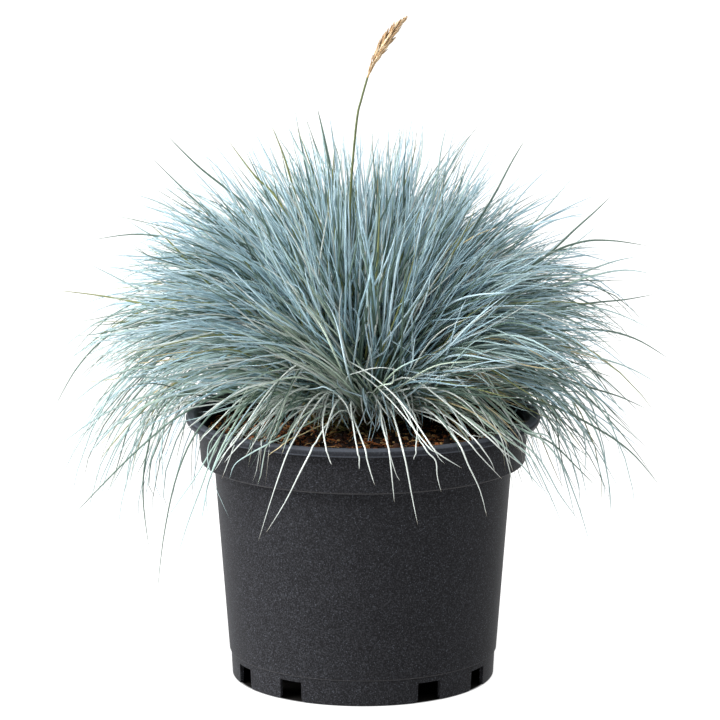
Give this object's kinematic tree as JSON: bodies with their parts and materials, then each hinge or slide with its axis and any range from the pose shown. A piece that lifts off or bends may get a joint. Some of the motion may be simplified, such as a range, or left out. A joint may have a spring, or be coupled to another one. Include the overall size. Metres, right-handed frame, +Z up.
{
  "type": "potted blue fescue clump",
  "caption": "Rounded clump of thin blue-grey grass leaves with a lone flower stem, growing in a charcoal plastic nursery pot that stands on a notched skirt.",
  "frame": {"origin": "centre of the circle that the pot stands on, at floor level", "axes": "+Z up along the pot's axis, -Y towards the front of the picture, +X to its right"},
  "size_m": [0.3318, 0.3318, 0.3607],
  "materials": {
    "pot_plastic": "matt charcoal with a fine speckle",
    "potting_soil": "loose fibrous peat and coir, matt",
    "leaf_bases": "dry fibrous, matt",
    "leaf": "blue-grey waxy bloom, matt",
    "stem": "smooth olive green, satin",
    "flower_head": "dry straw, matt"
  },
  "bodies": {
    "root": {"nursery_pot": "pot_plastic", "potting_soil": "potting_soil", "crown": "leaf_bases", "tuft_01": "leaf", "tuft_02": "leaf", "tuft_03": "leaf", "tuft_04": "leaf", "tuft_05": "leaf", "tuft_06": "leaf", "tuft_07": "leaf", "tuft_08": "leaf", "tuft_09": "leaf", "tuft_10": "leaf", "tuft_11": "leaf", "tuft_12": "leaf", "tuft_13": "leaf", "tuft_14": "leaf", "tuft_15": "leaf", "tuft_16": "leaf", "tuft_17": "leaf", "tuft_18": "leaf", "tuft_19": "leaf", "tuft_20": "leaf", "tuft_21": "leaf", "tuft_22": "leaf", "tuft_23": "leaf", "tuft_24": "leaf", "tuft_25": "leaf", "tuft_26": "leaf", "tuft_27": "leaf", "tuft_28": "leaf", "tuft_29": "leaf", "tuft_30": "leaf", "tuft_31": "leaf", "tuft_32": "leaf", "tuft_33": "leaf", "tuft_34": "leaf", "tuft_35": "leaf", "tuft_36": "leaf", "tuft_37": "leaf", "tuft_38": "leaf", "tuft_39": "leaf", "tuft_40": "leaf", "tuft_41": "leaf", "tuft_42": "leaf", "tuft_43": "leaf", "tuft_44": "leaf", "tuft_45": "leaf", "leaf_01": "leaf", "leaf_02": "leaf", "leaf_03": "leaf", "leaf_04": "leaf", "leaf_05": "leaf", "leaf_06": "leaf", "leaf_07": "leaf", "leaf_08": "leaf", "flower_stem": "stem", "flower_head": "flower_head"}
  },
  "joints": []
}
